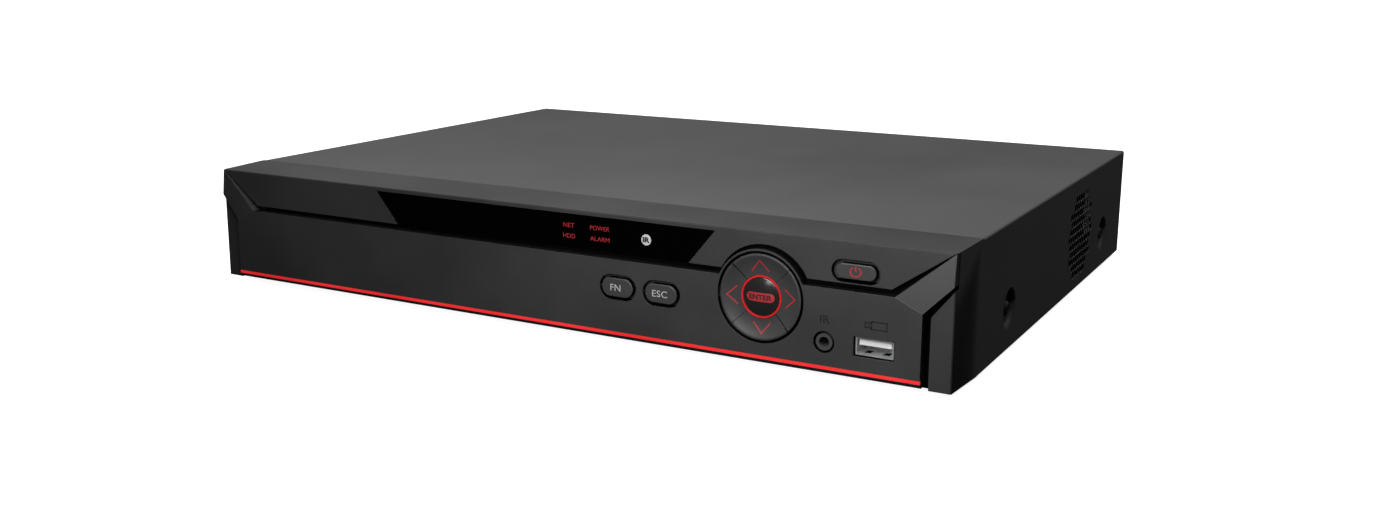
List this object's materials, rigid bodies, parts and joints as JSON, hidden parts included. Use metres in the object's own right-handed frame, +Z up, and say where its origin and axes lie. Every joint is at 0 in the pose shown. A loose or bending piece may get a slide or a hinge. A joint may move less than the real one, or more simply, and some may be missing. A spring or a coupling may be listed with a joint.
{
  "type": "desktop video recorder",
  "caption": "Flat desktop video recorder: steel case, moulded front with display window, buttons and direction pad, rear sockets, hard drive and side fan.",
  "frame": {"origin": "on the floor under the middle of the whole recorder's box", "axes": "front faces -Y, +X to the right of someone facing the front, +Z up"},
  "size_m": [0.325, 0.2602, 0.0498],
  "materials": {
    "chassis_tray": "zinc-plated sheet, dull",
    "rear_panel": "fine-textured black powder coat",
    "top_cover": "fine-textured dark grey powder coat",
    "bezel_frame": "fine spark-eroded texture",
    "lower_faceplate": "fine spark-eroded texture",
    "display_window": "polished black acrylic",
    "red_trim_strip": "satin red",
    "power_button": "satin",
    "fn_button": "satin",
    "esc_button": "satin",
    "nav_key_up": "satin",
    "nav_key_down": "satin",
    "nav_key_left": "satin",
    "nav_key_right": "satin",
    "nav_accent_ring": "satin red",
    "enter_button": "glossy",
    "ir_jack": "satin",
    "usb_front_shell": "bright plated",
    "usb_front_tongue": "satin white",
    "front_board": "solder mask",
    "tact_switches": "satin",
    "status_leds": "clear red",
    "ir_receiver": "dark tinted",
    "front_ribbon_cable": "flat grey ribbon",
    "ribbon_headers": "cream nylon",
    "front_board_screws": "zinc plated",
    "main_board": "solder mask",
    "board_standoffs": "turned",
    "board_screws": "zinc plated",
    "main_processor": "moulded epoxy",
    "heatsink": "extruded",
    "memory_chips": "moulded epoxy",
    "video_chips": "moulded epoxy",
    "capacitors": "shrink sleeve",
    "buzzer": "moulded",
    "battery_holder": "moulded",
    "coin_cell": "stainless",
    "video_socket_blocks": "moulded",
    "video_socket_barrels": "nickel plated",
    "audio_sockets": "moulded red",
    "vga_socket": "moulded blue",
    "vga_jack_screws": "nickel plated",
    "hdmi_socket": "plated",
    "lan_socket": "plated",
    "usb_rear_shell": "bright plated",
    "usb_rear_tongue": "satin white",
    "power_socket": "moulded",
    "rs485_terminal": "moulded green",
    "ground_screw": "plain",
    "drive_body": "die cast",
    "drive_lid": "satin",
    "drive_board": "solder mask",
    "drive_screws": "zinc plated",
    "sata_cables": "flexible red jacket",
    "sata_plugs": "moulded",
    "fan_frame": "moulded",
    "fan_rotor": "moulded",
    "fan_screws": "zinc plated",
    "cover_screws": "black zinc",
    "rubber_feet": "moulded"
  },
  "bodies": {
    "case": {"chassis_tray": "chassis_tray", "rear_panel": "rear_panel", "top_cover": "top_cover", "bezel_frame": "bezel_frame", "lower_faceplate": "lower_faceplate", "display_window": "display_window", "red_trim_strip": "red_trim_strip", "nav_accent_ring": "nav_accent_ring", "ir_jack": "ir_jack", "usb_front_shell": "usb_front_shell", "usb_front_tongue": "usb_front_tongue", "front_board": "front_board", "tact_switches": "tact_switches", "status_leds": "status_leds", "ir_receiver": "ir_receiver", "front_ribbon_cable": "front_ribbon_cable", "ribbon_headers": "ribbon_headers", "front_board_screws": "front_board_screws", "main_board": "main_board", "board_standoffs": "board_standoffs", "board_screws": "board_screws", "main_processor": "main_processor", "heatsink": "heatsink", "memory_chips": "memory_chips", "video_chips": "video_chips", "capacitors": "capacitors", "buzzer": "buzzer", "battery_holder": "battery_holder", "coin_cell": "coin_cell", "video_socket_blocks": "video_socket_blocks", "video_socket_barrels": "video_socket_barrels", "audio_sockets": "audio_sockets", "vga_socket": "vga_socket", "vga_jack_screws": "vga_jack_screws", "hdmi_socket": "hdmi_socket", "lan_socket": "lan_socket", "usb_rear_shell": "usb_rear_shell", "usb_rear_tongue": "usb_rear_tongue", "power_socket": "power_socket", "rs485_terminal": "rs485_terminal", "ground_screw": "ground_screw", "drive_body": "drive_body", "drive_lid": "drive_lid", "drive_board": "drive_board", "drive_screws": "drive_screws", "sata_cables": "sata_cables", "sata_plugs": "sata_plugs", "fan_frame": "fan_frame", "fan_screws": "fan_screws", "cover_screws": "cover_screws", "rubber_feet": "rubber_feet"},
    "power_button": {"power_button": "power_button"},
    "fn_button": {"fn_button": "fn_button"},
    "esc_button": {"esc_button": "esc_button"},
    "nav_key_up": {"nav_key_up": "nav_key_up"},
    "nav_key_down": {"nav_key_down": "nav_key_down"},
    "nav_key_left": {"nav_key_left": "nav_key_left"},
    "nav_key_right": {"nav_key_right": "nav_key_right"},
    "enter_button": {"enter_button": "enter_button"},
    "fan_rotor": {"fan_rotor": "fan_rotor"}
  },
  "joints": [
    {"name": "power_press", "type": "slide", "parent": "case", "child": "power_button", "axis": [0, 1, 0], "range_m": [0, 0.0006], "stiffness_N_per_m": 1500},
    {"name": "fn_press", "type": "slide", "parent": "case", "child": "fn_button", "axis": [0, 1, 0], "range_m": [0, 0.0006], "stiffness_N_per_m": 1500},
    {"name": "esc_press", "type": "slide", "parent": "case", "child": "esc_button", "axis": [0, 1, 0], "range_m": [0, 0.0006], "stiffness_N_per_m": 1500},
    {"name": "nav_up_press", "type": "slide", "parent": "case", "child": "nav_key_up", "axis": [0, 1, 0], "range_m": [0, 0.0006], "stiffness_N_per_m": 1500},
    {"name": "nav_down_press", "type": "slide", "parent": "case", "child": "nav_key_down", "axis": [0, 1, 0], "range_m": [0, 0.0006], "stiffness_N_per_m": 1500},
    {"name": "nav_left_press", "type": "slide", "parent": "case", "child": "nav_key_left", "axis": [0, 1, 0], "range_m": [0, 0.0006], "stiffness_N_per_m": 1500},
    {"name": "nav_right_press", "type": "slide", "parent": "case", "child": "nav_key_right", "axis": [0, 1, 0], "range_m": [0, 0.0006], "stiffness_N_per_m": 1500},
    {"name": "enter_press", "type": "slide", "parent": "case", "child": "enter_button", "axis": [0, 1, 0], "range_m": [0, 0.0006], "stiffness_N_per_m": 1500},
    {"name": "fan_spin", "type": "hinge", "parent": "case", "child": "fan_rotor", "pos_m": [0.1533, 0.0391, 0.025], "axis": [1, 0, 0], "continuous": true}
  ]
}
